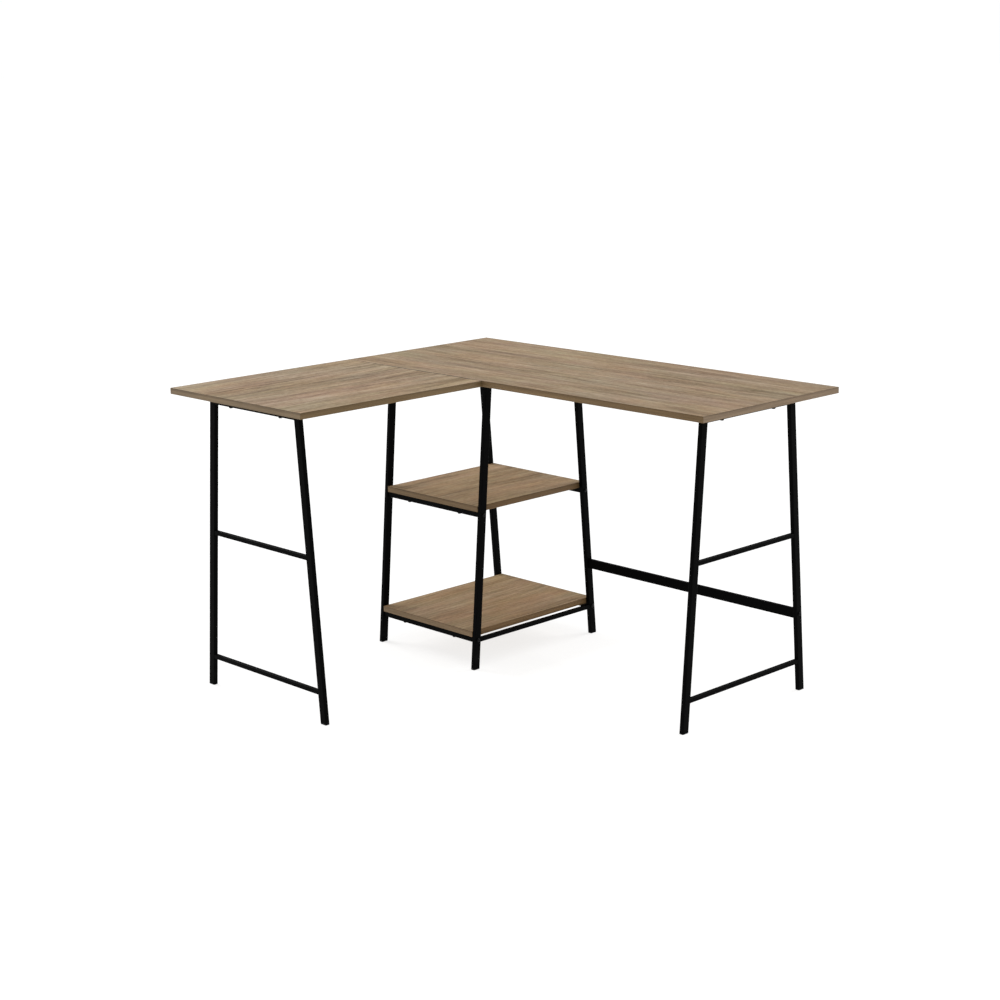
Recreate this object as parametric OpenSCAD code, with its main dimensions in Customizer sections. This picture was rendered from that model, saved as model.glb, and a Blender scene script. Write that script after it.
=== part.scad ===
// L-shaped corner desk. Two laminated tops meet at a butt seam and rest on four
// splayed trestles of welded rectangular tube. Two of the trestles stand under the
// corner and carry a pair of open shelves. Millimetres, +Z up.
// The origin is on the floor, under the middle of the desk's outline.
// The main top runs along X at the back (+Y); the return top reaches forward (-Y)
// from its left end (-X).

/* [Tops] */
// Length of the desk along its long side
desk_length = 1200; // [1100:5:1600]
// Length of the desk along its short side, both tops together
desk_reach = 1067; // [950:1:1500]
// Height of the writing surface above the floor
desk_height = 762; // [700:1:800]
// Depth of the main top, front to back
main_depth = 500; // [490:5:600]
// Depth of the return top, side to side
return_depth = 500; // [490:5:600]
// Thickness of the tops and the shelves
board_t = 15; // [15:1:25]
// Thickness of the strip glued to every board edge
band_t = 1; // [0.5:0.1:2]

/* [Trestles] */
// Wide side of a leg tube, in the plane of its trestle
leg_w = 20; // [18:1:30]
// Narrow side of a leg tube, across its trestle
leg_t = 12; // [10:1:15]
// Wall thickness of every steel tube
wall = 1.2; // [0.8:0.1:1.5]
// Outer corner radius of every steel tube
corner_r = 1.6; // [1.6:0.1:2.5]
// Distance between the two leg centre lines under the top
top_spread = 320; // [280:5:340]
// Distance between the two leg centre lines at the floor
foot_spread = 440; // [400:5:460]
// Height of a trestle's top rail
top_rail_h = 22; // [18:1:30]
// Side of the square tube of the rungs
rung = 11; // [8:1:12]
// Height of the underside of the low rungs and the lower shelf's rails
low_level = 71; // [60:1:120]
// Height of the underside of the middle rungs and the upper shelf's rails
mid_level = 395; // [360:1:450]
// Thickness of the sole of a foot cap
sole_t = 3; // [2:0.5:5]

/* [Trestle places] */
// From the right end of the main top to the right trestle
right_inset = 73; // [50:1:120]
// From the front end of the return top to the return trestle
return_inset = 64; // [40:1:120]
// From the left end of the main top to the left shelf trestle
shelf_inset = 72; // [50:1:110]

/* [Shelf unit and stretcher] */
// Side of the square tube of the shelf rails
rail = 14; // [12:1:16]
// Gap between a shelf's end and the trestle beside it
shelf_gap = 0.5; // [0.2:0.1:2]
// Height of the stretcher tube
stretcher_h = 25; // [20:1:35]
// Thickness of the stretcher tube
stretcher_t = 10; // [10:1:15]
// Height of the underside of the stretcher
stretcher_level = 186; // [150:1:260]

/* [Fasteners] */
// Distance between the two bolts in a rail
bolt_pitch = 190; // [120:5:220]
// Thread diameter of the bolts
bolt_d = 5; // [4:0.5:6]
// Length of thread that a bolt has in its insert
bolt_grip = 10; // [8:1:11]
// Width of a seam plate, along the seam
plate_w = 30; // [25:1:50]
// Length of a seam plate, across the seam
plate_l = 100; // [70:5:140]

/* [Hidden] */
under_top = desk_height - board_t;
left_x = -desk_length / 2;
back_y = desk_reach / 2;
seam_y = back_y - main_depth;
row_y = back_y - main_depth / 2;
corner_mid_x = left_x + return_depth / 2;
right_x = desk_length / 2 - right_inset;
shelf_left_x = left_x + shelf_inset;
shelf_right_x = left_x + return_depth - shelf_inset;
return_y = -desk_reach / 2 + return_inset;

splay = atan((foot_spread - top_spread) / 2 / under_top);
leg_span = leg_w / cos(splay);
inner_r = corner_r - wall;
slide_fit = 0.15;
plug_l = 12;

bay_x0 = shelf_left_x + leg_t / 2;
bay_x1 = shelf_right_x - leg_t / 2;
bay_l = bay_x1 - bay_x0;
bay_mid_x = (bay_x0 + bay_x1) / 2;
stretcher_x1 = right_x - leg_t / 2;
stretcher_x0 = shelf_right_x + leg_t / 2;
stretcher_z = stretcher_level + stretcher_h / 2;
rail_levels = [low_level + rail / 2, mid_level + rail / 2];

clear_d = bolt_d + 0.5;
head_d = bolt_d * 1.9;
head_h = bolt_d * 0.64;
socket_d = bolt_d * 0.6;
socket_h = head_h * 0.6;
insert_d = bolt_d + 3;
insert_h = bolt_grip + 1;
plate_t = 2;
screw_d = 4;
screw_l = 12;
screw_head_d = 7.5;
screw_head_h = 2;
seam_plate_x = [corner_mid_x - return_depth / 5, corner_mid_x + return_depth / 5];

wood = [0.62, 0.52, 0.42];
edge = [0.47, 0.38, 0.30];
black = [0.08, 0.08, 0.085];
plastic = [0.05, 0.05, 0.05];
zinc = [0.62, 0.63, 0.65];
$fn = 32;

// Distance of a leg's centre line from the middle of its trestle, at height z
function leg_at(z) = foot_spread / 2 - z * tan(splay);
// The same for the face of the leg that looks to the middle of the trestle
function leg_inner(z) = leg_at(z) - leg_span / 2;
// Half the depth of a shelf whose mid-thickness is at height z: flush with the legs
function shelf_half(z) = leg_at(z) + leg_span / 2;

shelf_z = [low_level + rail, mid_level + rail];
shelf_depth_half = [for (z = shelf_z) shelf_half(z + board_t / 2)];
rail_y = [for (z = rail_levels) leg_at(z)];

// ---- Places -------------------------------------------------------------

// A trestle is drawn in the XZ plane, with its middle at x = 0.
module in_right_trestle() translate([right_x, row_y, 0]) rotate([0, 0, 90]) children();
module in_return_trestle() translate([corner_mid_x, return_y, 0]) children();
module in_shelf_left_trestle() translate([shelf_left_x, row_y, 0]) rotate([0, 0, 90]) children();
module in_shelf_right_trestle() translate([shelf_right_x, row_y, 0]) rotate([0, 0, 90]) children();

// The two bolt places of a rail, either side of its middle
module at_bolt_pair() for (side = [-1, 1]) translate([side * bolt_pitch / 2, 0, 0]) children();

// The bolt places under the tops: one pair for each trestle
module at_top_bolts() {
    in_right_trestle() at_bolt_pair() children();
    in_return_trestle() at_bolt_pair() children();
    in_shelf_left_trestle() at_bolt_pair() children();
    in_shelf_right_trestle() at_bolt_pair() children();
}

// The bolt places under shelf i, 0 for the lower and 1 for the upper
module at_shelf_bolts(i)
    for (side = [-1, 1])
        translate([bay_mid_x, row_y + side * rail_y[i], 0]) at_bolt_pair() children();

// The screw places of one seam plate
module at_plate_screws(x)
    for (along = [-1, 1], across = [-1, 1])
        translate([x + along * plate_w / 4, seam_y + across * plate_l * 0.35, 0]) children();

// ---- Tube stock ---------------------------------------------------------

module rounded_rect(w, t, r) {
    square([w - 2 * r, t], center = true);
    square([w, t - 2 * r], center = true);
    for (x = [-1, 1], y = [-1, 1]) translate([x * (w / 2 - r), y * (t / 2 - r)]) circle(r);
}

// Tube of length l along +Z
module tube(w, t, l)
    difference() {
        linear_extrude(l) rounded_rect(w, t, corner_r);
        translate([0, 0, -1]) linear_extrude(l + 2) rounded_rect(w - 2 * wall, t - 2 * wall, inner_r);
    }

// Tube along +X from x = 0, h high and t thick, with its underside at z = 0
module level_tube(h, t, l) translate([0, 0, h / 2]) rotate([0, 90, 0]) tube(h, t, l);

// Everything between two heights
module slab(z0, z1) translate([-desk_length, -desk_length, z0]) cube([2 * desk_length, 2 * desk_length, z1 - z0]);

// ---- Trestle pieces -----------------------------------------------------

// Puts a child that stands at the origin along the slope of the leg on one side
module along_leg(side) translate([side * foot_spread / 2, 0, 0]) rotate([0, -side * splay, 0]) children();

// Leg with a bolt hole across it at each of the given heights
module leg(side, bolt_levels = [])
    color(black) difference() {
        intersection() {
            along_leg(side) translate([0, 0, -leg_w]) tube(leg_w, leg_t, under_top + 3 * leg_w);
            slab(sole_t, under_top);
        }
        for (z = bolt_levels)
            translate([side * leg_at(z), 0, z]) rotate([90, 0, 0])
                cylinder(d = clear_d, h = 2 * leg_t, center = true);
    }

// Level tube from leg to leg, h high, with its ends cut to the slope of the legs
module cross_tube(z, h, t)
    intersection() {
        translate([-foot_spread / 2, 0, z]) level_tube(h, t, foot_spread);
        rotate([90, 0, 0]) linear_extrude(2 * leg_w, center = true) polygon([
            [-leg_inner(z - 1), z - 1], [leg_inner(z - 1), z - 1],
            [leg_inner(z + h + 1), z + h + 1], [-leg_inner(z + h + 1), z + h + 1]
        ]);
    }

module rung_at(z) color(black) cross_tube(z, rung, rung);

module top_rail()
    color(black) difference() {
        cross_tube(under_top - top_rail_h, top_rail_h, leg_t);
        at_bolt_pair() translate([0, 0, under_top - 2 * top_rail_h])
            cylinder(d = clear_d, h = 3 * top_rail_h);
    }

// Plastic cap: a sole under the tube and a plug that slides into it
module foot_cap(side)
    color(plastic) {
        intersection() {
            along_leg(side) translate([0, 0, -leg_w])
                linear_extrude(3 * leg_w) rounded_rect(leg_w, leg_t, corner_r);
            slab(0, sole_t);
        }
        intersection() {
            along_leg(side) translate([0, 0, -leg_w]) linear_extrude(3 * leg_w)
                rounded_rect(leg_w - 2 * wall - 2 * slide_fit, leg_t - 2 * wall - 2 * slide_fit, inner_r);
            slab(sole_t / 2, sole_t + plug_l);
        }
    }

// ---- Boards -------------------------------------------------------------

// A board's core, inside its edge strips
module core(x0, x1, y0, y1, z)
    translate([x0 + band_t, y0 + band_t, z]) cube([x1 - x0 - 2 * band_t, y1 - y0 - 2 * band_t, board_t]);

// The four edge strips of a board, as one band round the core
module edge_band(x0, x1, y0, y1, z)
    color(edge) difference() {
        translate([x0, y0, z]) cube([x1 - x0, y1 - y0, board_t]);
        translate([x0 + band_t, y0 + band_t, z - 1])
            cube([x1 - x0 - 2 * band_t, y1 - y0 - 2 * band_t, board_t + 2]);
    }

module insert_holes(z) translate([0, 0, z - 1]) cylinder(d = insert_d, h = insert_h + 1);

module plate_screw_holes()
    for (x = seam_plate_x) at_plate_screws(x)
        translate([0, 0, under_top - 1]) cylinder(d = screw_d, h = screw_l - plate_t + 1);

module main_top()
    color(wood) difference() {
        core(left_x, -left_x, seam_y, back_y, under_top);
        at_top_bolts() insert_holes(under_top);
        plate_screw_holes();
    }

module return_top()
    color(wood) difference() {
        core(left_x, left_x + return_depth, -back_y, seam_y, under_top);
        at_top_bolts() insert_holes(under_top);
        plate_screw_holes();
    }

module shelf(i)
    color(wood) difference() {
        core(bay_x0 + shelf_gap, bay_x1 - shelf_gap,
            row_y - shelf_depth_half[i], row_y + shelf_depth_half[i], shelf_z[i]);
        at_shelf_bolts(i) insert_holes(shelf_z[i]);
    }

module shelf_band(i)
    edge_band(bay_x0 + shelf_gap, bay_x1 - shelf_gap,
        row_y - shelf_depth_half[i], row_y + shelf_depth_half[i], shelf_z[i]);

// ---- Shelf rails and stretcher ------------------------------------------

// Rail under shelf i, on the front (-1) or the back (1) legs
module shelf_rail(i, side)
    color(black) difference() {
        translate([bay_x0, row_y + side * rail_y[i], shelf_z[i] - rail]) level_tube(rail, rail, bay_l);
        translate([bay_mid_x, row_y + side * rail_y[i], shelf_z[i] - 2 * rail])
            at_bolt_pair() cylinder(d = clear_d, h = 3 * rail);
    }

stretcher_y = row_y + leg_at(stretcher_z);

module stretcher()
    color(black) translate([stretcher_x0, stretcher_y, stretcher_level])
        level_tube(stretcher_h, stretcher_t, stretcher_x1 - stretcher_x0);

// Threaded plug pressed into a tube end, pointing along +X from the tube's end face
module end_plug(h, t)
    color(zinc) rotate([0, 90, 0]) difference() {
        linear_extrude(plug_l) rounded_rect(h - 2 * wall, t - 2 * wall, inner_r);
        translate([0, 0, -1]) cylinder(d = bolt_d, h = plug_l + 2);
    }

// The two ends of the shelf rails, looking into each tube along +X
module at_rail_ends()
    for (i = [0, 1], side = [-1, 1]) {
        translate([bay_x0, row_y + side * rail_y[i], rail_levels[i]]) children();
        translate([bay_x1, row_y + side * rail_y[i], rail_levels[i]]) rotate([0, 0, 180]) children();
    }

// The two ends of the stretcher, looking into the tube along +X
module at_stretcher_ends() {
    translate([stretcher_x0, stretcher_y, stretcher_z]) children();
    translate([stretcher_x1, stretcher_y, stretcher_z]) rotate([0, 0, 180]) children();
}

// ---- Fasteners ----------------------------------------------------------

// Bolt that points up, with its head's seat at z = 0
module bolt(l)
    color(black) {
        difference() {
            translate([0, 0, -head_h]) cylinder(d1 = head_d * 0.8, d2 = head_d, h = head_h);
            translate([0, 0, -head_h - 1]) cylinder(d = socket_d, h = socket_h + 1, $fn = 6);
        }
        cylinder(d = bolt_d, h = l);
    }

// Bolt through a leg into the plug behind it, for a tube that starts at x = 0
module end_bolt() translate([-leg_t, 0, 0]) rotate([0, 90, 0]) bolt(leg_t + bolt_grip);

// Threaded insert in a board's underside at height z
module insert(z)
    color(zinc) difference() {
        translate([0, 0, z]) cylinder(d = insert_d, h = insert_h);
        translate([0, 0, z - 1]) cylinder(d = bolt_d, h = bolt_grip + 1);
    }

module top_bolts()
    at_top_bolts() translate([0, 0, under_top - top_rail_h]) bolt(top_rail_h + bolt_grip);

module top_bolt_inserts() at_top_bolts() insert(under_top);

module shelf_bolts()
    for (i = [0, 1]) at_shelf_bolts(i) translate([0, 0, shelf_z[i] - rail]) bolt(rail + bolt_grip);

module shelf_bolt_inserts() for (i = [0, 1]) at_shelf_bolts(i) insert(shelf_z[i]);

module seam_plate(x)
    color(zinc) difference() {
        translate([x - plate_w / 2, seam_y - plate_l / 2, under_top - plate_t])
            cube([plate_w, plate_l, plate_t]);
        at_plate_screws(x) translate([0, 0, under_top - plate_t - 1]) cylinder(d = screw_d, h = plate_t + 2);
    }

// Pan-head screw that points up, with its head's seat at z = 0
module screw()
    color(zinc) {
        translate([0, 0, -screw_head_h])
            cylinder(d1 = screw_head_d * 0.7, d2 = screw_head_d, h = screw_head_h);
        cylinder(d = screw_d, h = screw_l);
    }

module seam_plate_screws()
    for (x = seam_plate_x) at_plate_screws(x) translate([0, 0, under_top - plate_t]) screw();

// ---- Nodes --------------------------------------------------------------

main_top();
return_top();
shelf(1);  // upper_shelf
shelf(0);  // lower_shelf
edge_band(left_x, -left_x, seam_y, back_y, under_top);  // main_top_edge_band
edge_band(left_x, left_x + return_depth, -back_y, seam_y, under_top);  // return_top_edge_band
shelf_band(1);  // upper_shelf_edge_band
shelf_band(0);  // lower_shelf_edge_band

in_right_trestle() leg(-1);  // right_front_leg
in_right_trestle() leg(1, [stretcher_z]);  // right_back_leg
in_right_trestle() top_rail();  // right_top_rail
in_right_trestle() rung_at(mid_level);  // right_mid_rung
in_right_trestle() rung_at(low_level);  // right_low_rung
in_right_trestle() foot_cap(-1);  // right_front_foot
in_right_trestle() foot_cap(1);  // right_back_foot

in_return_trestle() leg(-1);  // return_left_leg
in_return_trestle() leg(1);  // return_right_leg
in_return_trestle() top_rail();  // return_top_rail
in_return_trestle() rung_at(mid_level);  // return_mid_rung
in_return_trestle() rung_at(low_level);  // return_low_rung
in_return_trestle() foot_cap(-1);  // return_left_foot
in_return_trestle() foot_cap(1);  // return_right_foot

in_shelf_left_trestle() leg(-1, rail_levels);  // shelf_left_front_leg
in_shelf_left_trestle() leg(1, rail_levels);  // shelf_left_back_leg
in_shelf_left_trestle() top_rail();  // shelf_left_top_rail
in_shelf_left_trestle() rung_at(low_level);  // shelf_left_low_rung
in_shelf_left_trestle() foot_cap(-1);  // shelf_left_front_foot
in_shelf_left_trestle() foot_cap(1);  // shelf_left_back_foot

in_shelf_right_trestle() leg(-1, rail_levels);  // shelf_right_front_leg
in_shelf_right_trestle() leg(1, concat(rail_levels, [stretcher_z]));  // shelf_right_back_leg
in_shelf_right_trestle() top_rail();  // shelf_right_top_rail
in_shelf_right_trestle() rung_at(low_level);  // shelf_right_low_rung
in_shelf_right_trestle() foot_cap(-1);  // shelf_right_front_foot
in_shelf_right_trestle() foot_cap(1);  // shelf_right_back_foot

shelf_rail(1, -1);  // upper_front_rail
shelf_rail(1, 1);  // upper_back_rail
shelf_rail(0, -1);  // lower_front_rail
shelf_rail(0, 1);  // lower_back_rail
stretcher();

seam_plate(seam_plate_x[0]);  // seam_plate_left
seam_plate(seam_plate_x[1]);  // seam_plate_right
seam_plate_screws();
top_bolts();
top_bolt_inserts();
shelf_bolts();
shelf_bolt_inserts();
at_rail_ends() end_bolt();  // rail_end_bolts
at_rail_ends() end_plug(rail, rail);  // rail_end_plugs
at_stretcher_ends() end_bolt();  // stretcher_bolts
at_stretcher_ends() end_plug(stretcher_h, stretcher_t);  // stretcher_end_plugs
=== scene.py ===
"""Looks, light and camera of the corner desk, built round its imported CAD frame.

Metres, in the CAD's own frame: the floor is z = 0, the main top lies along X at the back (+Y)
and the return top reaches forward (-Y) from its left end.
The CAD gives every place. This script adds what it leaves out: eased edges, the four strips
glued to each board, weld beads, moulded foot caps, domed bolts, finishes, light and camera.
"""
import math
from collections import namedtuple

import bmesh
import bpy
from mathutils import Euler, Matrix, Vector


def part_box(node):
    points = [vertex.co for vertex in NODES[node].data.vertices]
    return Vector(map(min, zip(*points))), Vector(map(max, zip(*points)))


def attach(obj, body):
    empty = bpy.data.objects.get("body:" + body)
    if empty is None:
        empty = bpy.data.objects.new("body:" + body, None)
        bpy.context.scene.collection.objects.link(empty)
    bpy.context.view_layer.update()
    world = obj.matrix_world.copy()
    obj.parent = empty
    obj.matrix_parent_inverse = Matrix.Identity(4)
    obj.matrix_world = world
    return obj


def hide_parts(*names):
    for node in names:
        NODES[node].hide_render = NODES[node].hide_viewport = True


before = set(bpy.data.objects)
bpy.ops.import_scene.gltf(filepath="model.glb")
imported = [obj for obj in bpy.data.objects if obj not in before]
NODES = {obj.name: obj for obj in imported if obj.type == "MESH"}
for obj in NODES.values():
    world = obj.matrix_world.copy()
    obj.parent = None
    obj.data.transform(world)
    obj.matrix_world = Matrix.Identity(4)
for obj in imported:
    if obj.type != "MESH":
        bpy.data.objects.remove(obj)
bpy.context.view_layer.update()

BODY = "root"
X, Y, Z = 0, 1, 2
MM = 0.001

# ---- Camera and light -----------------------------------------------------------------------

CAMERA_AT = (3.352, -3.281, 1.590)
CAMERA_YAW = 45.68
CAMERA_PITCH = -13.26
CAMERA_ROLL = -0.78
FOCAL_LENGTH = 71.46
SENSOR = 36.0

FLOOR_RADIUS = 80.0
FLOOR_COLOUR = (0.30, 0.30, 0.298)
FLOOR_HAZE = 0.985
# The floor is a pale sheet lit from within: less so to the back left, where the softboxes stand,
# and more so far away from them. It turns between two places towards the back left, and rises
# between two distances from the middle, in metres.
GLOW_FRONT = 0.82
GLOW_BACK = 0.69
GLOW_FAR = 0.94
GLOW_TURNS = (-0.5, 2.5)
GLOW_RISES = (2.6, 6.5)
SKY_STRENGTH = 0.50
BACKDROP_STRENGTH = 1.01

# name: (place, place it looks at, width, height, watts)
SOFTBOXES = {
    "overhead": ((0.1, -0.3, 3.4), (0.0, 0.0, 0.6), 3.4, 3.4, 15.0),
    "left": ((-4.4, -0.4, 2.5), (0.0, 0.0, 0.5), 2.6, 2.0, 165.0),
    "back": ((0.9, 4.7, 2.5), (0.0, 0.0, 0.5), 2.6, 2.0, 170.0),
    "right": ((4.4, -0.6, 2.6), (0.0, 0.1, 0.5), 2.6, 2.0, 15.0),
}

# ---- Sizes of what the CAD leaves out -------------------------------------------------------

BOARD_EASE = 0.25 * MM
STRIP_OUTER_EASE = 0.45 * MM
STRIP_JOINT_EASE = 0.12 * MM
PLATE_EASE = 0.3 * MM

# Weld beads: their leg length, the distance between ripples and how deep the ripples are, the
# part of the leg length that is left at the bead's ends, how far they stay clear of the tube's
# rounded corners, and how far they go into the steel.
BEAD_LEG = 2.2 * MM
BEAD_RIPPLE = 2.4 * MM
BEAD_RIPPLE_DEPTH = 0.14
BEAD_TAPER = 0.35
BEAD_INSET = 0.3 * MM
BEAD_ROOT = 0.4 * MM
BEAD_STEPS = 25
BEAD_SIDES = 7

# The leg tube, as the CAD has it: wide side, corner radius and wall
LEG_WIDE = 20 * MM
LEG_CORNER = 1.6 * MM
TUBE_WALL = 1.2 * MM

# Foot caps. The profile is (height above the floor, how far the cap draws in there), in mm. The
# plug starts inside the sole, and its ribs repeat one profile of how far it draws in, in mm.
CAP_PROFILE = (
    (0.00, 1.30), (0.12, 0.85), (0.40, 0.42), (0.85, 0.14),
    (1.40, 0.00), (2.55, 0.00), (2.80, 0.10), (3.00, 0.35),
)
CAP_SHARPEST = 0.8 * MM
PLUG_FIT = 0.15 * MM
PLUG_ROOT = 0.6 * MM
PLUG_CORNER = 0.5 * MM
PLUG_RIBS = 4
PLUG_RIB_PROFILE = (0.0, 0.12, 0.22, 0.12)

# Heads of bolts and screws. A recess is drawn from its bottom up as (share of its width, share
# of its depth), and its mouth is chamfered. The dome is flat on top and straight at the rim.
RING_STEPS = 48
SOCKET_SIDES = 6
SOCKET_WIDTH = 3.0 * MM
SOCKET_DEPTH = 1.5 * MM
CROSS_LENGTH = 4.2 * MM
CROSS_WIDTH = 1.1 * MM
CROSS_DEPTH = 1.3 * MM
RECESS_PROFILE = ((0.25, 1.12), (0.92, 1.0), (1.0, 0.9))
MOUTH_DEPTH = 0.12 * MM
MOUTH_WIDENING = 1.08
MOUTH_LIP = 0.05 * MM
DOME_STEPS = 6
DOME_FLAT = 0.62
DOME_RIM = 0.28
HEAD_EASE = 0.15 * MM

# Pins: the fillet under the head, and the thread as shares of the pin's length or radius
NECK_FILLET = 0.1 * MM
NECK_LENGTH = 0.15 * MM
THREAD_PITCH = 0.8 * MM
THREAD_START = 0.45
THREAD_LENGTH = 0.5
THREAD_ROOT = 0.88
TIP_START = 0.96
TIP_RADIUS = 0.8

# ---- Colours, linear RGB --------------------------------------------------------------------

OAK_DARK = (0.155, 0.103, 0.059)
OAK_MID = (0.286, 0.206, 0.130)
OAK_LIGHT = (0.413, 0.313, 0.212)
OAK_STREAK = (0.125, 0.076, 0.046)
OAK_RED = (1.056, 0.966, 0.945)
OAK_OLIVE = (0.948, 1.030, 1.040)
OAK_YELLOW = (1.000, 1.000, 0.910)
OAK_GREY = (1.000, 1.000, 1.090)
# Painted shadow in the gap along the seam between the tops
SEAM_SHADOW = (0.012, 0.009, 0.007)
CHIP_LIGHT = (0.52, 0.39, 0.24)
CHIP_DARK = (0.24, 0.15, 0.08)

# The strips glued to each board: along the grain, then across it
# Their colours are fitted board by board to how bright each edge looks under this light, so they
# are partly the strips' own tone and partly painted light and shade
STRIPS = {
    "main_top": ((0.158, 0.102, 0.050), (0.208, 0.148, 0.096)),
    "return_top": ((0.136, 0.089, 0.042), (0.196, 0.141, 0.086)),
    "upper_shelf": ((0.116, 0.069, 0.030), (0.149, 0.098, 0.051)),
    "lower_shelf": ((0.152, 0.090, 0.039), (0.182, 0.123, 0.070)),
}

COAT_BLACK = (0.0013, 0.0013, 0.0014)
# Paler coat: scuffs near the floor, and the painted highlight along the tube's corners
COAT_WEAR_AND_HIGHLIGHT = (0.0080, 0.0080, 0.0082)
CAP_BLACK = (0.0024, 0.0024, 0.0025)
CAP_SCUFF = (0.045, 0.044, 0.042)
OXIDE_BLACK = (0.0040, 0.0040, 0.0043)
OXIDE_WORN = (0.0170, 0.0165, 0.0160)
ZINC = (0.55, 0.56, 0.58)
ZINC_DULL = (0.40, 0.41, 0.43)

# ---- Figure of the boards, shine and relief -------------------------------------------------

# Darker streaks of the figure, as the real boards show them.
# (along the grain, across it, half length, half width, depth), in the row frame
MAIN_STREAKS = (
    (-0.30, 0.368, 0.16, 0.009, 0.55),
    (-0.235, 0.372, 0.030, 0.007, 0.80),
    (-0.28, 0.162, 0.20, 0.013, 0.55),
    (0.26, 0.466, 0.050, 0.006, 0.60),
    (0.35, 0.180, 0.090, 0.008, 0.60),
    (0.02, 0.075, 0.110, 0.010, 0.45),
    (0.50, 0.075, 0.030, 0.011, 0.75),
)
RETURN_STREAKS = (
    (-0.43, -0.480, 0.110, 0.010, 0.55),
    (-0.10, -0.375, 0.090, 0.011, 0.45),
    (-0.24, -0.182, 0.160, 0.008, 0.60),
    (-0.42, -0.290, 0.120, 0.007, 0.40),
)

# Layers of the figure: (features to the metre along the grain, and across it, detail, roughness,
# weight). The last is the fine lines, which also give the relief.
LAYERS = (
    (0.7, 13.0, 2.0, 0.50, 0.38),
    (2.2, 42.0, 3.0, 0.55, 0.48),
    (7.0, 125.0, 3.0, 0.60, 0.68),
    (20.0, 30.0, 3.0, 0.60, 0.08),
    (100.0, 150.0, 2.0, 0.50, 0.32),
    (26.0, 420.0, 3.0, 0.60, 0.42),
)

# How far the lines wander sideways, in metres, and how much the pores darken and dull
SWAY = 0.045
PORE_SHARE = 0.45
PORE_DULLNESS = 0.15

# name: (axis of the grain, place in the figure, tint, contrast, streaks)
BOARDS = {
    "main_top": (X, (0.0, 0.0, 0.0), (1.01, 1.02, 1.02), 1.0, MAIN_STREAKS),
    "return_top": (Y, (4.3, 2.1, 0.0), (1.03, 1.03, 1.02), 1.22, RETURN_STREAKS),
    # The shelves' tints are painted light and shade: the upper shelf lightened against the shade of
    # the tops above it, the lower shelf darkened as its painted shade
    "upper_shelf": (Y, (8.9, 5.4, 0.3), (1.08, 1.06, 0.98), 0.9, ()),
    "lower_shelf": (Y, (2.6, 7.8, 0.7), (0.90, 0.86, 0.78), 0.9, ()),
}

# Strips: how far their lines go darker and lighter, and their painted shading: lit below, shaded at
# the upper rim
STRIP_DARKER = 0.74
STRIP_LIGHTER = 1.24
STRIP_LIT_BELOW = (1.10, 1.10, 1.10)
STRIP_SHADED_RIM = (0.84, 0.83, 0.82)

# Most of a noise's values lie in this range
NOISE_RANGE = (0.3, 0.7)

# Roughness of each finish, at its smoothest and its dullest
LAMINATE_ROUGHNESS = (0.58, 0.66)
STRIP_ROUGHNESS = (0.45, 0.60)
COAT_ROUGHNESS = (0.40, 0.52)
CAP_ROUGHNESS = (0.52, 0.68)
OXIDE_ROUGHNESS = (0.32, 0.48)
ZINC_ROUGHNESS = (0.26, 0.44)

# Depth of each finish's relief
LAMINATE_RELIEF = 0.06 * MM
STRIP_RELIEF = 0.04 * MM
COAT_RELIEF = 0.05 * MM
CAP_RELIEF = 0.04 * MM
OXIDE_RELIEF = 0.02 * MM
ZINC_RELIEF = 0.015 * MM
FLOOR_RELIEF = 0.02 * MM

# The painted shadow line along the seam. It is strongest this far to the right of its middle,
# weakens to a share of that between two distances from there, and ends between two distances from
# the seam.
SEAM_HEART = 0.05
SEAM_SETTLES = (0.14, 0.24)
SEAM_SETTLED = 0.4
SEAM_ENDS = (2.6 * MM, 1.4 * MM)


# ---- Drawing finishes with nodes ------------------------------------------------------------

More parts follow.
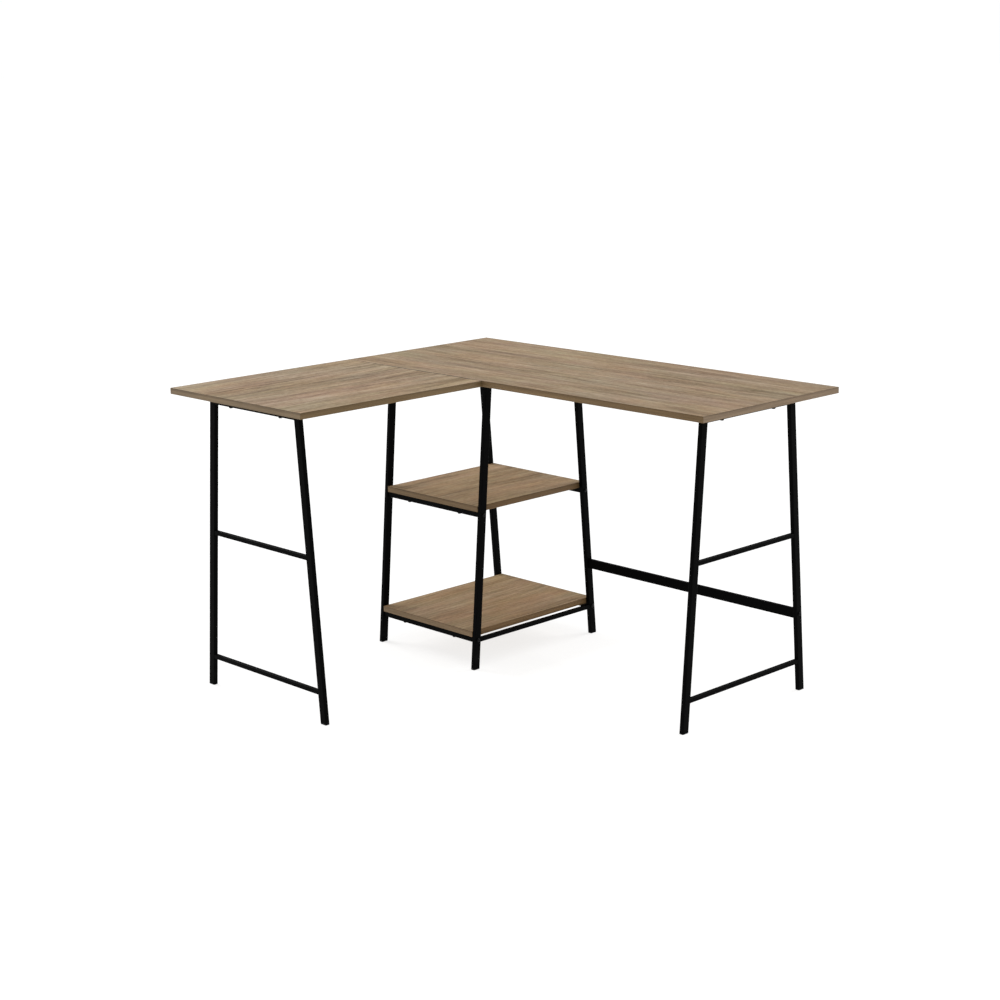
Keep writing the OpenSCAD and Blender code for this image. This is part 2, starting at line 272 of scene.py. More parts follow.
class Finish:
    """A material being drawn. Each method adds a node and gives back the socket it ends in."""

    def __init__(self, name):
        self.material = bpy.data.materials.new(name)
        self.material.use_nodes = True
        self.tree = self.material.node_tree
        self.tree.nodes.clear()

    def node(self, kind, sockets=None, **settings):
        made = self.tree.nodes.new(kind)
        for key, value in settings.items():
            setattr(made, key, value)
        for key, value in (sockets or {}).items():
            if isinstance(value, bpy.types.NodeSocket):
                self.tree.links.new(value, made.inputs[key])
            else:
                made.inputs[key].default_value = value
        return made

    def place(self):
        """Where a point is, in metres in the row frame: every piece has its origin there."""
        return self.node("ShaderNodeTexCoord").outputs["Object"]

    def facing(self):
        """Which way the surface looks, in the row frame."""
        return self.node("ShaderNodeTexCoord").outputs["Normal"]

    def axis(self, vector, index):
        return self.node("ShaderNodeSeparateXYZ", {0: vector}).outputs[index]

    def maths(self, operation, first, second=0.0, clamp=False):
        sockets = {0: first, 1: second}
        return self.node("ShaderNodeMath", sockets, operation=operation, use_clamp=clamp).outputs[0]

    def vector(self, operation, first, second):
        sockets = {0: first, 1: second}
        return self.node("ShaderNodeVectorMath", sockets, operation=operation).outputs[0]

    def dot(self, first, second):
        sockets = {0: first, 1: second}
        made = self.node("ShaderNodeVectorMath", sockets, operation="DOT_PRODUCT")
        return made.outputs["Value"]

    def noise(self, at, stretch, detail=2.0, roughness=0.5):
        """Noise between 0 and 1, with this many features to the metre along each axis."""
        scaled = self.vector("MULTIPLY", at, stretch)
        sockets = {"Vector": scaled, "Scale": 1.0, "Detail": detail, "Roughness": roughness}
        return self.node("ShaderNodeTexNoise", sockets).outputs["Fac"]

    def span(self, value, low, high, start=0.0, end=1.0):
        """Value, taken from low..high to start..end and held there."""
        sockets = {
            "Value": value, "From Min": low, "From Max": high, "To Min": start, "To Max": end,
        }
        return self.node("ShaderNodeMapRange", sockets).outputs["Result"]

    def ramp(self, value, stops):
        made = self.node("ShaderNodeValToRGB", {"Fac": value})
        marks = made.color_ramp.elements
        while len(marks) < len(stops):
            marks.new(1.0)
        for mark, (where, colour) in zip(marks, stops):
            mark.position = where
            mark.color = (*colour, 1.0)
        return made.outputs["Color"]

    def mix(self, share, first, second):
        """Colour first, going to second as share goes to 1."""
        made = self.node("ShaderNodeMix", data_type="RGBA")
        for socket, value in ((0, share), (6, first), (7, second)):
            if isinstance(value, bpy.types.NodeSocket):
                self.tree.links.new(value, made.inputs[socket])
            else:
                made.inputs[socket].default_value = value if socket == 0 else (*value, 1.0)
        return made.outputs[2]

    def tint(self, colour, share, first, second):
        """Colour multiplied by tint first, going to tint second as share goes to 1."""
        return self.vector("MULTIPLY", colour, self.mix(share, first, second))

    def bump(self, height, depth, strength=1.0):
        sockets = {"Height": height, "Distance": depth, "Strength": strength}
        return self.node("ShaderNodeBump", sockets).outputs["Normal"]

    def done(self, colour, roughness, normal, **fixed):
        """Ends the tree in one surface. The fixed values are the same all over it."""
        names = {
            "metallic": "Metallic", "specular": "Specular IOR Level", "glow": "Emission Strength",
        }
        sockets = {"Base Color": colour, "Roughness": roughness, "Normal": normal}
        sockets.update({names[key]: value for key, value in fixed.items()})
        if "glow" in fixed:
            sockets["Emission Color"] = (1.0, 1.0, 1.0, 1.0)
        surface = self.node("ShaderNodeBsdfPrincipled", sockets)
        self.node("ShaderNodeOutputMaterial", {"Surface": surface.outputs["BSDF"]})
        return self.material


# ---- Finishes -------------------------------------------------------------------------------

def along_grain(finish, turned, shift):
    """Places as (along the grain, across it, through the board): real ones, then shifted ones.

    A turned board has its grain along Y. The shift gives each board a figure of its own.
    """
    place = finish.place()
    parts = finish.node("ShaderNodeSeparateXYZ", {0: place}).outputs
    first, second = (parts["Y"], parts["X"]) if turned else (parts["X"], parts["Y"])
    joined = finish.node("ShaderNodeCombineXYZ", {0: first, 1: second, 2: parts["Z"]}).outputs[0]
    return joined, finish.vector("ADD", joined, shift)


def streak_depth(finish, grain, streaks):
    """How dark the named streaks are at a point: each is a soft ellipse along the grain."""
    total = 0.0
    ragged = finish.noise(grain, (14.0, 320.0, 1.0), 2.0)
    for along, across, half_length, half_width, depth in streaks:
        offset = finish.vector("SUBTRACT", grain, (along, across, 0.0))
        scaled = finish.vector("MULTIPLY", offset, (1 / half_length, 1 / half_width, 0.0))
        fall = finish.maths("MULTIPLY", finish.dot(scaled, scaled), -1.0)
        fade = finish.maths("POWER", math.e, fall)
        total = finish.maths("ADD", total, finish.maths("MULTIPLY", fade, depth))
    return finish.maths("MULTIPLY", total, finish.span(ragged, 0.25, 0.65))


def paint_seam_shadow(finish, place, colour):
    """Paints shadow on the edges that meet at the seam between the tops. The shelves are clear of
    it.
    """
    low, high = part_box("return_top_edge_band")
    off = finish.maths("ABSOLUTE", finish.maths("SUBTRACT", finish.axis(place, Y), high.y))
    along = finish.maths("SUBTRACT", finish.axis(place, X), (low.x + high.x) / 2)
    ragged = finish.noise(place, (40.0, 500.0, 1.0), 3.0)
    from_heart = finish.maths("ABSOLUTE", finish.maths("SUBTRACT", along, SEAM_HEART))
    settled = finish.span(from_heart, *SEAM_SETTLES, 1.0, SEAM_SETTLED)
    share = finish.maths("MULTIPLY", finish.span(off, *SEAM_ENDS), settled)
    share = finish.maths("MULTIPLY", share, finish.span(ragged, 0.3, 0.5, 0.7, 1.0))
    share = finish.maths("MULTIPLY", share, finish.maths("LESS_THAN", along, (high.x - low.x) / 2))
    # Mixes towards the painted seam shadow
    return finish.mix(share, colour, SEAM_SHADOW)


def chipboard(finish, place):
    """Colour of the board's inside, which shows only in its drilled holes."""
    scaled = finish.vector("MULTIPLY", place, (300.0, 300.0, 700.0))
    chips = finish.node("ShaderNodeTexVoronoi", {"Vector": scaled, "Scale": 1.0})
    shade = finish.axis(chips.outputs["Color"], X)
    return finish.mix(shade, CHIP_DARK, CHIP_LIGHT)


def laminate(name, turned, shift, tint, contrast, streaks):
    """Matte oak-look melamine: fine straight grain, soft bands, a few darker streaks and pores."""
    finish = Finish(name)
    real, grain = along_grain(finish, turned, shift)
    drift = finish.noise(grain, (1.4, 3.0, 3.0), 2.0)
    sway = finish.maths("MULTIPLY", finish.maths("SUBTRACT", drift, 0.5), SWAY)
    sideways = finish.node("ShaderNodeCombineXYZ", {1: sway}).outputs[0]
    swayed = finish.vector("ADD", grain, sideways)

    ticks = finish.noise(swayed, (38.0, 1250.0, 1250.0), 1.0)
    pores = finish.span(ticks, 0.60, 0.72)
    tone = 0.5 - contrast * sum(layer[-1] for layer in LAYERS) / 2
    for along, across, detail, roughness, weight in LAYERS:
        lines = finish.noise(swayed, (along, across, across), detail, roughness)
        tone = finish.maths("ADD", finish.maths("MULTIPLY", lines, weight * contrast), tone)
    oak = finish.ramp(tone, ((0.26, OAK_DARK), (0.50, OAK_MID), (0.74, OAK_LIGHT)))
    # The board's tint, fitted to how bright it looks under this light: on the shelves it is painted
    # light and shade
    oak = finish.vector("MULTIPLY", oak, tint)
    warmth = finish.noise(swayed, (2.6, 9.0, 9.0), 4.0, 0.85)
    oak = finish.tint(oak, finish.span(warmth, 0.34, 0.66), OAK_OLIVE, OAK_RED)
    elsewhere = finish.vector("ADD", swayed, (5.7, 3.1, 0.0))
    greying = finish.noise(elsewhere, (2.6, 9.0, 9.0), 4.0, 0.85)
    oak = finish.tint(oak, finish.span(greying, 0.34, 0.66), OAK_YELLOW, OAK_GREY)
    oak = finish.mix(streak_depth(finish, real, streaks), oak, OAK_STREAK)
    oak = finish.mix(finish.maths("MULTIPLY", pores, PORE_SHARE), oak, OAK_DARK)

    upright = finish.maths("ABSOLUTE", finish.axis(finish.facing(), Z))
    face = finish.maths("GREATER_THAN", upright, 0.5)
    # The faces carry the painted seam shadow, and the holes show the chipboard
    colour = finish.mix(face, chipboard(finish, real), paint_seam_shadow(finish, finish.place(), oak))

    smudge = finish.noise(grain, (6.0, 9.0, 9.0), 3.0)
    clouded = finish.span(smudge, *NOISE_RANGE, *LAMINATE_ROUGHNESS)
    roughness = finish.maths("ADD", clouded, finish.maths("MULTIPLY", pores, PORE_DULLNESS))
    relief = finish.maths("SUBTRACT", finish.maths("MULTIPLY", lines, 0.5), pores)
    normal = finish.bump(relief, LAMINATE_RELIEF, 0.6)
    return finish.done(colour, roughness, normal, specular=0.10)


def edge_strip(name, colour, turned, shift, top):
    """Glued wood-look strip: plainer than the faces, with lines along it, painted light below and
    painted shade at the upper rim.
    """
    finish = Finish(name)
    real, grain = along_grain(finish, turned, shift)
    figure = finish.noise(grain, (4.0, 90.0, 160.0), 3.0, 0.6)
    lines = finish.noise(grain, (16.0, 500.0, 900.0), 2.0)
    fine = finish.maths("MULTIPLY", lines, 0.4)
    tone = finish.maths("ADD", finish.maths("MULTIPLY", figure, 0.6), fine)
    darker = [channel * STRIP_DARKER for channel in colour]
    lighter = [channel * STRIP_LIGHTER for channel in colour]
    shade = finish.ramp(tone, ((0.34, darker), (0.50, colour), (0.66, lighter)))
    # Painted shading: lighter lower down, as lit from the floor, and darker at the upper rim
    rim = finish.span(finish.axis(real, Z), top - 7 * MM, top - 1 * MM)
    shade = finish.tint(shade, rim, STRIP_LIT_BELOW, STRIP_SHADED_RIM)
    # Painted shadow along the seam between the tops
    shade = paint_seam_shadow(finish, finish.place(), shade)
    rubbed = finish.noise(real, (22.0, 22.0, 22.0), 3.0)
    roughness = finish.span(rubbed, *NOISE_RANGE, *STRIP_ROUGHNESS)
    return finish.done(shade, roughness, finish.bump(lines, STRIP_RELIEF, 0.5), specular=0.15)


def tube_corner(finish):
    """1 on the rounded corners of a tube and 0 on its flats."""
    upright = finish.node("ShaderNodeVectorMath", {0: finish.facing()}, operation="ABSOLUTE")
    parts = finish.node("ShaderNodeSeparateXYZ", {0: upright.outputs[0]}).outputs
    flattest = finish.maths("MAXIMUM", finish.maths("MAXIMUM", parts[0], parts[1]), parts[2])
    return finish.span(flattest, 0.98, 0.78)


def powder_coat(name):
    """Satin black powder coat with orange peel, paler on the tube's corners: thinner coat and a
    painted highlight.
    """
    finish = Finish(name)
    place = finish.place()
    peel = finish.noise(place, (850.0, 850.0, 850.0), 2.0)
    cloud = finish.noise(place, (14.0, 14.0, 14.0), 4.0, 0.6)
    wear_and_highlight = finish.noise(place, (45.0, 45.0, 45.0), 5.0, 0.7)
    # Painted highlight along the rounded corners, which also stands for the thinner coat there
    edge = finish.maths("MULTIPLY", tube_corner(finish), finish.span(wear_and_highlight, 0.42, 0.70, 0.12, 0.75))
    low = finish.span(finish.axis(place, Z), 0.09, 0.0, 0.0, 0.5)
    scuffed = finish.maths("MULTIPLY", finish.span(wear_and_highlight, 0.52, 0.66), low)
    share = finish.maths("ADD", edge, scuffed, clamp=True)
    colour = finish.mix(share, COAT_BLACK, COAT_WEAR_AND_HIGHLIGHT)
    clouded = finish.span(cloud, *NOISE_RANGE, *COAT_ROUGHNESS)
    roughness = finish.maths("ADD", clouded, finish.maths("MULTIPLY", share, 0.08))
    return finish.done(colour, roughness, finish.bump(peel, COAT_RELIEF, 0.35), specular=0.018)


def moulded_cap(name):
    """Black plastic with a fine moulded grain, scuffed towards the sole."""
    finish = Finish(name)
    place = finish.place()
    grain = finish.noise(place, (1600.0, 1600.0, 1600.0), 2.0)
    scratch = finish.noise(place, (260.0, 260.0, 900.0), 4.0, 0.7)
    sole = finish.span(finish.axis(place, Z), 2.5 * MM, 0.0)
    scuffed = finish.maths("MULTIPLY", sole, 0.6)
    share = finish.maths("MULTIPLY", finish.span(scratch, 0.50, 0.68), scuffed)
    colour = finish.mix(share, CAP_BLACK, CAP_SCUFF)
    roughness = finish.span(scratch, *NOISE_RANGE, *CAP_ROUGHNESS)
    return finish.done(colour, roughness, finish.bump(grain, CAP_RELIEF, 0.5), specular=0.08)


def black_oxide(name):
    """Oil-blacked steel of the bolts, rubbed paler in scattered patches."""
    finish = Finish(name)
    place = finish.place()
    rub = finish.noise(place, (500.0, 500.0, 500.0), 4.0, 0.7)
    fine = finish.noise(place, (2600.0, 2600.0, 2600.0), 2.0)
    colour = finish.mix(finish.span(rub, 0.55, 0.75, 0.0, 0.5), OXIDE_BLACK, OXIDE_WORN)
    roughness = finish.span(rub, *NOISE_RANGE, *OXIDE_ROUGHNESS)
    return finish.done(colour, roughness, finish.bump(fine, OXIDE_RELIEF, 0.4), specular=0.12)


def zinc_plate(name):
    """Bright zinc on rolled steel: fine lines one way and cloudy dull patches."""
    finish = Finish(name)
    place = finish.place()
    lines = finish.noise(place, (2400.0, 60.0, 400.0), 2.0)
    cloud = finish.noise(place, (120.0, 120.0, 120.0), 4.0, 0.6)
    colour = finish.mix(finish.span(cloud, 0.35, 0.68), ZINC, ZINC_DULL)
    roughness = finish.span(finish.maths("ADD", lines, cloud), 0.7, 1.3, *ZINC_ROUGHNESS)
    return finish.done(colour, roughness, finish.bump(lines, ZINC_RELIEF, 0.5), metallic=1.0)


# ---- Mesh helpers ---------------------------------------------------------------------------

def add_piece(name, mesh_maker, finishes, replaced=(), smooth_below=40.0):
    """A new piece on the desk's body, drawn by mesh_maker into an empty bmesh."""
    bm = bmesh.new()
    mesh_maker(bm)
    bmesh.ops.remove_doubles(bm, verts=bm.verts, dist=1e-7)
    bmesh.ops.recalc_face_normals(bm, faces=bm.faces)
    for face in bm.faces:
        face.smooth = True
    limit = math.radians(smooth_below)
    for edge in bm.edges:
        edge.smooth = len(edge.link_faces) == 2 and edge.calc_face_angle(0.0) < limit
    mesh = bpy.data.meshes.new(name)
    bm.to_mesh(mesh)
    bm.free()
    for finish in finishes:
        mesh.materials.append(finish)
    piece = bpy.data.objects.new(name, mesh)
    bpy.context.scene.collection.objects.link(piece)
    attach(piece, BODY)
    if replaced:
        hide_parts(*replaced)


def loft(bm, rings, material=0):
    """Skin over rings that have the same number of points, closed at both ends."""
    rows = [[bm.verts.new(point) for point in ring] for ring in rings]
    faces = []
    for row, after in zip(rows, rows[1:]):
        for i in range(len(row)):
            j = (i + 1) % len(row)
            faces.append(bm.faces.new((row[i], row[j], after[j], after[i])))
    faces.append(bm.faces.new(rows[0][::-1]))
    faces.append(bm.faces.new(rows[-1]))
    for face in faces:
        face.material_index = material


def block(bm, low, high, material=0):
    """Box between two corners. Gives back its edges."""
    xs, ys, zs = zip(low, high)
    verts = [bm.verts.new((x, y, z)) for x in xs for y in ys for z in zs]
    loops = ((0, 1, 3, 2), (4, 6, 7, 5), (0, 4, 5, 1), (2, 3, 7, 6), (0, 2, 6, 4), (1, 5, 7, 3))
    faces = [bm.faces.new([verts[i] for i in loop]) for loop in loops]
    for face in faces:
        face.material_index = material
    return list(dict.fromkeys(edge for face in faces for edge in face.edges))


def rounded_outline(width, thickness, radius, steps=5):
    """Points round a rectangle with rounded corners, about its centre."""
    points = []
    for corner, (sx, sy) in enumerate(((1, 1), (-1, 1), (-1, -1), (1, -1))):
        for step in range(steps + 1):
            angle = math.radians(90 * (corner + step / steps))
            x = sx * (width / 2 - radius) + radius * math.cos(angle)
            y = sy * (thickness / 2 - radius) + radius * math.sin(angle)
            points.append((x, y))
    return points


def mesh_points(node):
    return [vertex.co.copy() for vertex in NODES[node].data.vertices]


def mean_of(points):
    return sum(points, Vector()) / len(points)


def solids_of(node):
    """The points of each separate solid in a CAD node."""
    bm = bmesh.new()
    bm.from_mesh(NODES[node].data)
    bmesh.ops.remove_doubles(bm, verts=bm.verts, dist=1e-6)
    left = set(bm.verts)
    solids = []
    while left:
        found = {left.pop()}
        waiting = list(found)
        while waiting:
            vertex = waiting.pop()
            near = {edge.other_vert(vertex) for edge in vertex.link_edges} - found
            found |= near
            waiting.extend(near)
        left -= found
        solids.append([vertex.co.copy() for vertex in found])
    bm.free()
    return sorted(solids, key=lambda points: tuple(round(c, 4) for c in min(points, key=tuple)))


# ---- Boards and their edge strips -----------------------------------------------------------

def ease_edges(node, width, segments=2):
    """Rounds a CAD node's edges a little with modifiers. Its own mesh stays as it is."""
    piece = NODES[node]
    weld = piece.modifiers.new("weld", "WELD")
    weld.merge_threshold = 1e-6
    bevel = piece.modifiers.new("ease", "BEVEL")
    bevel.width = width
    bevel.segments = segments
    bevel.limit_method = "ANGLE"
    bevel.angle_limit = math.radians(60)
    bevel.harden_normals = True


def edge_strips(board, band, grain_axis, finishes):
    """The four strips round a board: long ones with the grain, end ones between them."""
    low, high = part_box(band)
    inner_low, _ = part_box(board)
    thickness = inner_low[0] - low[0]
    across = 1 - grain_axis

    def ease(bm, edges, width, segments):
        bmesh.ops.bevel(bm, geom=edges, offset=width, segments=segments, profile=0.5,
                        affect="EDGES", clamp_overlap=True)

    def draw(bm):
        for axis, material in ((across, 0), (grain_axis, 1)):
            for side in (-1, 1):
                start, end = low.copy(), high.copy()
                if side < 0:
                    end[axis] = low[axis] + thickness
                else:
                    start[axis] = high[axis] - thickness
                if axis == grain_axis:
                    start[across] += thickness
                    end[across] -= thickness
                outer = (start if side < 0 else end)[axis]
                edges = block(bm, start, end, material)
                outside = [e for e in edges if all(abs(v.co[axis] - outer) < 1e-6 for v in e.verts)]
                if axis == grain_axis:
                    outside = [e for e in outside if abs(e.verts[0].co.z - e.verts[1].co.z) < 1e-6]
                joints = [e for e in edges if e not in outside]
                ease(bm, outside, STRIP_OUTER_EASE, 3)
                ease(bm, [e for e in joints if e.is_valid], STRIP_JOINT_EASE, 1)

    add_piece(board + "_edge_strips", draw, finishes, [band], smooth_below=35.0)


def dress_boards():
    for board, (grain_axis, shift, tint, contrast, streaks) in BOARDS.items():
        turned = grain_axis == Y
        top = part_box(board)[1].z
        finish = laminate(board + "_laminate", turned, shift, tint, contrast, streaks)
        dress(board, finish)
        ease_edges(board, BOARD_EASE)
        along, across = STRIPS[board]
        strips = [
            edge_strip(board + "_long_strip", along, turned, shift, top),
            edge_strip(board + "_end_strip", across, not turned, shift, top),
        ]
        edge_strips(board, board + "_edge_band", grain_axis, strips)


# ---- Steel frame ----------------------------------------------------------------------------

def dress(node, finish):
    """Gives a CAD node its finish. The mesh keeps its own plain one underneath."""
    for slot in NODES[node].material_slots:
        slot.link = "OBJECT"
        slot.material = finish


def run_of(node):
    """The level axis that a cross tube runs along: X or Y."""
    low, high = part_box(node)
    return X if high.x - low.x > high.y - low.y else Y


def weld_bead(bm, corner, run, half, towards_leg, up):
    """Rippled fillet in the corner between a cross tube and a leg, half to each side of corner."""
    across = 1 - run
    rings = []
    for i in range(BEAD_STEPS):
        t = i / (BEAD_STEPS - 1)
        offset = (2 * t - 1) * half
        ripple = 0.5 + 0.5 * math.cos(2 * math.pi * offset / BEAD_RIPPLE)
        taper = min(1.0, BEAD_TAPER + 5 * min(t, 1 - t))
        size = BEAD_LEG * (1 - BEAD_RIPPLE_DEPTH + BEAD_RIPPLE_DEPTH * ripple) * taper
        ring = []
        for k in range(BEAD_SIDES):
            angle = math.radians(90 * k / (BEAD_SIDES - 1))
            bulge = 0.80 + 0.12 * math.sin(2 * angle)
            point = corner.copy()
            point[across] += offset
            point[run] -= towards_leg * size * bulge * math.cos(angle)
            point.z += up * size * bulge * math.sin(angle)
            ring.append(point)
        root = corner.copy()
        root[across] += offset
        root[run] += towards_leg * BEAD_ROOT
        root.z -= up * BEAD_ROOT
        ring.append(root)
        rings.append(ring)
    loft(bm, rings)


def welds_of(bm, tube, both_sides):
    """Beads at both ends of a cross tube, under it and, when both_sides, on top of it."""
    points = mesh_points(tube)
    low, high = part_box(tube)
    run = run_of(tube)
    middle = (low + high) / 2
    half_flat = (high[1 - run] - low[1 - run]) / 2 - LEG_CORNER
    levels = [(low.z, -1)] + ([(high.z, 1)] if both_sides else [])
    for level, up in levels:
        level_points = [p for p in points if abs(p.z - level) < 0.05 * MM]
        for end in (-1, 1):
            corner = middle.copy()
            corner.z = level
            corner[run] = max(p[run] * end for p in level_points) * end
            weld_bead(bm, corner, run, half_flat - BEAD_INSET, end, up)


def add_welds(coat):
    trestles = {
        "right": ("mid_rung", "low_rung"),
        "return": ("mid_rung", "low_rung"),
        "shelf_left": ("low_rung",),
        "shelf_right": ("low_rung",),
    }
    for trestle, rungs in trestles.items():
        def draw(bm, trestle=trestle, rungs=rungs):
            welds_of(bm, trestle + "_top_rail", False)
            for rung in rungs:
                welds_of(bm, f"{trestle}_{rung}", True)
        add_piece(trestle + "_trestle_welds", draw, [coat])


# ---- Feet -----------------------------------------------------------------------------------

def foot_cap(bm, leg, foot):
    """Rounded sole as wide as the tube, and a ribbed plug up inside it, on the leg's own slope."""
    points = mesh_points(leg)
    low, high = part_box(leg)
    foot_centre = mean_of([p for p in points if p.z < low.z + 0.05 * MM])
    top_centre = mean_of([p for p in points if p.z > high.z - 0.05 * MM])
    slope = (top_centre - foot_centre) / (top_centre.z - foot_centre.z)
    wide_axis = X if abs(slope.x) > abs(slope.y) else Y
    stretch = math.hypot(1.0, slope[wide_axis])
    leg_narrow = high[1 - wide_axis] - low[1 - wide_axis]

    def ring(height, inset, corner):
        centre = foot_centre + slope * (height - foot_centre.z)
        outline = rounded_outline(LEG_WIDE - 2 * inset, leg_narrow - 2 * inset, corner)
        out = []
        for wide, narrow in outline:
            point = centre.copy()
            point[wide_axis] += wide * stretch
            point[1 - wide_axis] += narrow
            out.append(point)
        return out

    sole = []
    for height, inset in CAP_PROFILE:
        corner = max(LEG_CORNER - inset * MM * 0.3, CAP_SHARPEST)
        sole.append(ring(height * MM, inset * MM, corner))
    loft(bm, sole)
    plug_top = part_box(foot)[1].z
    sole_top = CAP_PROFILE[-1][0] * MM
    depth = TUBE_WALL + PLUG_FIT
    plug_root = sole_top - PLUG_ROOT
    rows = PLUG_RIBS * len(PLUG_RIB_PROFILE)
    plug = []
    for i in range(rows + 1):
        height = plug_root + (plug_top - plug_root) * i / rows
        draw_in = PLUG_RIB_PROFILE[i % len(PLUG_RIB_PROFILE)] * MM
        plug.append(ring(height, depth + draw_in, PLUG_CORNER))
    loft(bm, plug)


def add_feet(plastic):
    for leg in [n for n in NODES if n.endswith("_leg")]:
        foot = leg[:-len("_leg")] + "_foot"
        def draw(bm, leg=leg, foot=foot):
            foot_cap(bm, leg, foot)
        add_piece(foot + "_cap", draw, [plastic], [foot])


# ---- Bolts and screws -----------------------------------------------------------------------

Pin = namedtuple("Pin", "seat axis radius length head_radius head_height")


def hexagon(angle, across_flats):
    """Distance from the middle to the side of a hexagonal socket."""
    part = 2 * math.pi / SOCKET_SIDES
    return across_flats / 2 / math.cos((angle + part / 2) % part - part / 2)


def cross_slot(angle, length, width):
    """The same for a cross recess: two crossing bars with this length and width."""
    def bar(turned):
        c, s = abs(math.cos(turned)), abs(math.sin(turned))
        return min(length / 2 / max(c, 1e-6), width / 2 / max(s, 1e-6))
    return max(bar(angle), bar(angle + math.pi / 2))


def headed_pin(bm, pin, recess, recess_depth):
    """Bolt or screw: domed head with a recess, its seat at one point and its pin along axis."""
    turn = pin.axis.to_track_quat("Z", "Y").to_matrix()
    top = -pin.head_height

    def ring(radius_at, height):
        out = []
        for i in range(RING_STEPS):
            angle = 2 * math.pi * i / RING_STEPS
            radius = radius_at(angle) if callable(radius_at) else radius_at
            local = Vector((radius * math.cos(angle), radius * math.sin(angle), height))
            out.append(pin.seat + turn @ local)
        return out

    rings = []
    for share, deep in RECESS_PROFILE:
        rings.append(ring(lambda a: recess(a) * share, top + recess_depth * deep))
    rings.append(ring(recess, top + MOUTH_DEPTH))
    rings.append(ring(lambda a: recess(a) * MOUTH_WIDENING + MOUTH_LIP, top))
    flat = pin.head_radius * DOME_FLAT
    for k in range(1, DOME_STEPS + 1):
        bend = k / DOME_STEPS * math.pi / 2
        radius = flat + (pin.head_radius - flat) * math.sin(bend)
        drop = pin.head_height * (1 - DOME_RIM) * (1 - math.cos(bend))
        rings.append(ring(radius, top + drop))
    rings.append(ring(pin.head_radius, -HEAD_EASE))
    rings.append(ring(pin.head_radius - HEAD_EASE, 0.0))
    rings.append(ring(pin.radius + NECK_FILLET, 0.0))
    rings.append(ring(pin.radius, NECK_LENGTH))
    turns = int(pin.length / THREAD_PITCH)
    for k in range(turns):
        crest = pin.length * (THREAD_START + THREAD_LENGTH * k / turns)
        rings.append(ring(pin.radius, crest))
        rings.append(ring(pin.radius * THREAD_ROOT, crest + 0.25 * pin.length / turns))
    rings.append(ring(pin.radius, pin.length * TIP_START))
    rings.append(ring(pin.radius * TIP_RADIUS, pin.length))
    loft(bm, rings)


def pin_of(points):
    """The CAD pin that these are the points of. Its head is its wide end."""
    low = Vector([min(p[i] for p in points) for i in range(3)])
    high = Vector([max(p[i] for p in points) for i in range(3)])
    size = high - low
    run = max(range(3), key=lambda i: size[i])
    centre = (low + high) / 2

    def reach(at):
        offsets = [p - centre for p in points if abs(p[run] - at) < 0.02 * MM]
        return max(math.hypot(*(o[i] for i in range(3) if i != run)) for o in offsets)

    stops = sorted({round(p[run], 5) for p in points})
    direction = 1 if reach(low[run]) > reach(high[run]) + 0.3 * MM else -1
    head_end, tip = (low[run], high[run]) if direction > 0 else (high[run], low[run])
    head_radius = max(size[i] for i in range(3) if i != run) / 2
    wide = [s for s in stops if reach(s) > head_radius - 0.05 * MM]
    seat_at = max(wide) if direction > 0 else min(wide)
    seat = centre.copy()
    seat[run] = seat_at
    axis = Vector((0.0, 0.0, 0.0))
    axis[run] = direction
    return Pin(seat, axis, reach(tip), abs(tip - seat_at), head_radius, abs(seat_at - head_end))


def add_pins(name, node, finish, recess, recess_depth):
    """Bolts or screws in place of a CAD node's plain ones, with the same sizes."""
    def draw(bm):
        for points in solids_of(node):
            headed_pin(bm, pin_of(points), recess, recess_depth)
    add_piece(name, draw, [finish], [node], smooth_below=32.0)


def add_fasteners(oxide, zinc):
    def socket(angle):
        return hexagon(angle, SOCKET_WIDTH)

    def cross(angle):
        return cross_slot(angle, CROSS_LENGTH, CROSS_WIDTH)

    for node in ("top_bolts", "shelf_bolts", "rail_end_bolts", "stretcher_bolts"):
        add_pins(node[:-1] + "_set", node, oxide, socket, SOCKET_DEPTH)
    add_pins("seam_plate_screw_set", "seam_plate_screws", zinc, cross, CROSS_DEPTH)


# ---- Stage ----------------------------------------------------------------------------------

def add_floor():
    finish = Finish("floor_paint")
    place = finish.place()
    haze = finish.noise(place, (0.6, 0.6, 0.6), 2.0)
    darker = [channel * FLOOR_HAZE for channel in FLOOR_COLOUR]
    colour = finish.mix(haze, darker, FLOOR_COLOUR)
    fine = finish.noise(place, (60.0, 60.0, 60.0), 2.0)
    distance = finish.node("ShaderNodeVectorMath", {0: place}, operation="LENGTH").outputs["Value"]
    back_left = finish.dot(place, (-1.0, 1.0, 0.0))
    near = finish.span(back_left, *GLOW_TURNS, GLOW_FRONT, GLOW_BACK)
    far = finish.span(distance, *GLOW_RISES, 0.0, GLOW_FAR - GLOW_BACK)
    glow = finish.maths("ADD", near, far)
    normal = finish.bump(fine, FLOOR_RELIEF, 0.2)
    material = finish.done(colour, 0.9, normal, specular=0.1, glow=glow)
    bm = bmesh.new()
    bmesh.ops.create_circle(bm, cap_ends=True, segments=96, radius=FLOOR_RADIUS)
    mesh = bpy.data.meshes.new("floor")
    bm.to_mesh(mesh)
    bm.free()
    mesh.materials.append(material)
    floor = bpy.data.objects.new("floor", mesh)
    bpy.context.scene.collection.objects.link(floor)


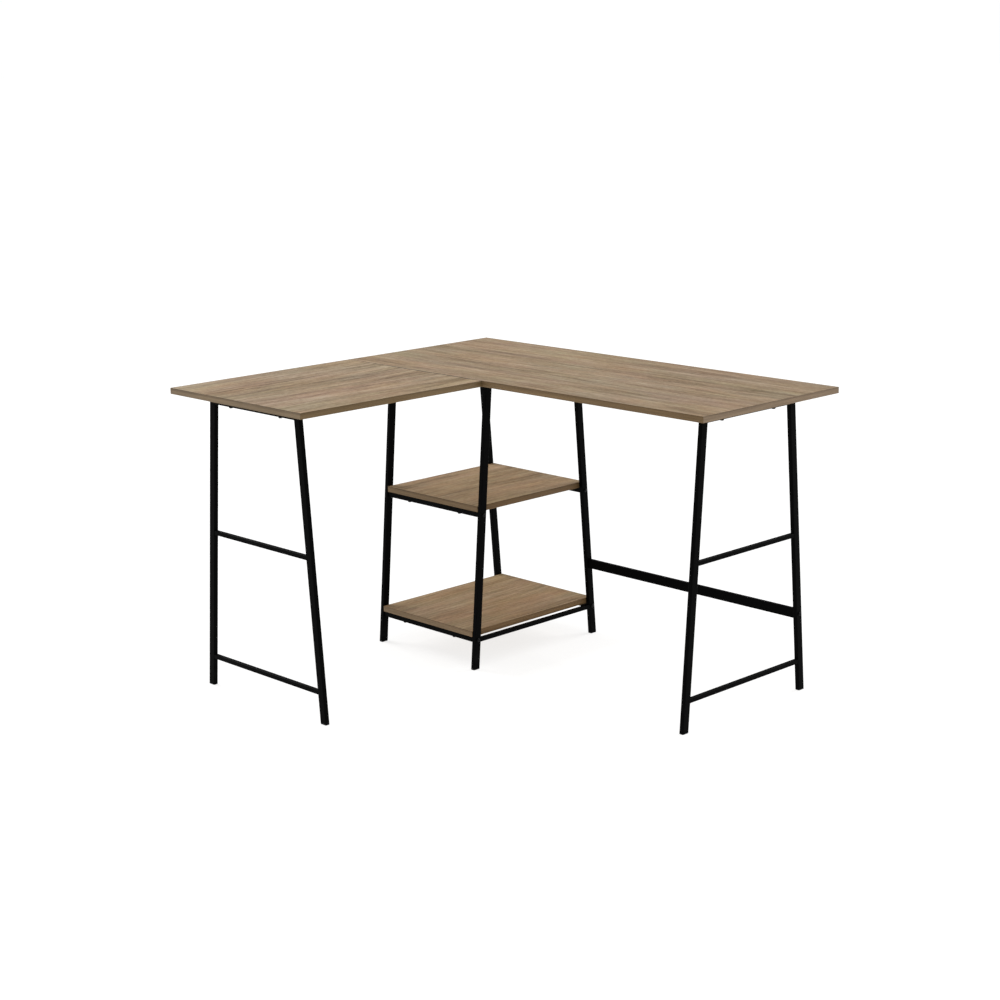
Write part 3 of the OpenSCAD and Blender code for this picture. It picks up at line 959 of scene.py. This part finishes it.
def add_sky():
    world = bpy.data.worlds.new("studio")
    world.use_nodes = True
    tree = world.node_tree
    background = tree.nodes["Background"]
    background.inputs["Color"].default_value = (1.0, 1.0, 1.0, 1.0)
    seen = tree.nodes.new("ShaderNodeLightPath").outputs["Is Camera Ray"]
    strength = tree.nodes.new("ShaderNodeMapRange")
    strength.inputs["To Min"].default_value = SKY_STRENGTH
    strength.inputs["To Max"].default_value = BACKDROP_STRENGTH
    tree.links.new(seen, strength.inputs["Value"])
    tree.links.new(strength.outputs["Result"], background.inputs["Strength"])
    bpy.context.scene.world = world


def add_softboxes():
    for name, (place, target, width, height, watts) in SOFTBOXES.items():
        light = bpy.data.lights.new(name, "AREA")
        light.shape = "RECTANGLE"
        light.size = width
        light.size_y = height
        light.energy = watts
        lamp = bpy.data.objects.new(name, light)
        lamp.location = place
        lamp.visible_camera = False
        lamp.rotation_euler = (Vector(target) - Vector(place)).to_track_quat("-Z", "Y").to_euler()
        bpy.context.scene.collection.objects.link(lamp)


def add_camera():
    data = bpy.data.cameras.new("camera")
    data.lens = FOCAL_LENGTH
    data.sensor_width = SENSOR
    camera = bpy.data.objects.new("camera", data)
    turn = Euler((math.radians(90 + CAMERA_PITCH), 0.0, math.radians(CAMERA_YAW))).to_matrix()
    roll = Matrix.Rotation(math.radians(CAMERA_ROLL), 3, "Z")
    camera.matrix_world = Matrix.Translation(CAMERA_AT) @ (turn @ roll).to_4x4()
    bpy.context.scene.collection.objects.link(camera)
    bpy.context.scene.camera = camera


# ---- The scene ------------------------------------------------------------------------------

def dress_frame(coat, zinc):
    """Every steel CAD node gets the finish of its slot. The rest are boards or are replaced."""
    finish_of = {"black_steel": coat, "zinc_steel": zinc}
    for name, piece in NODES.items():
        slot = piece.data.materials[0].name
        if slot in finish_of:
            dress(name, finish_of[slot])


def build():
    coat = powder_coat("powder_coat")
    plastic = moulded_cap("foot_plastic_grain")
    oxide = black_oxide("oxide_black")
    zinc = zinc_plate("zinc_plate")
    dress_frame(coat, zinc)
    dress_boards()
    add_welds(coat)
    add_feet(plastic)
    add_fasteners(oxide, zinc)
    for plate in ("seam_plate_left", "seam_plate_right"):
        ease_edges(plate, PLATE_EASE)


build()
add_floor()
add_sky()
add_softboxes()
add_camera()
bpy.context.scene.view_settings.view_transform = "Standard"
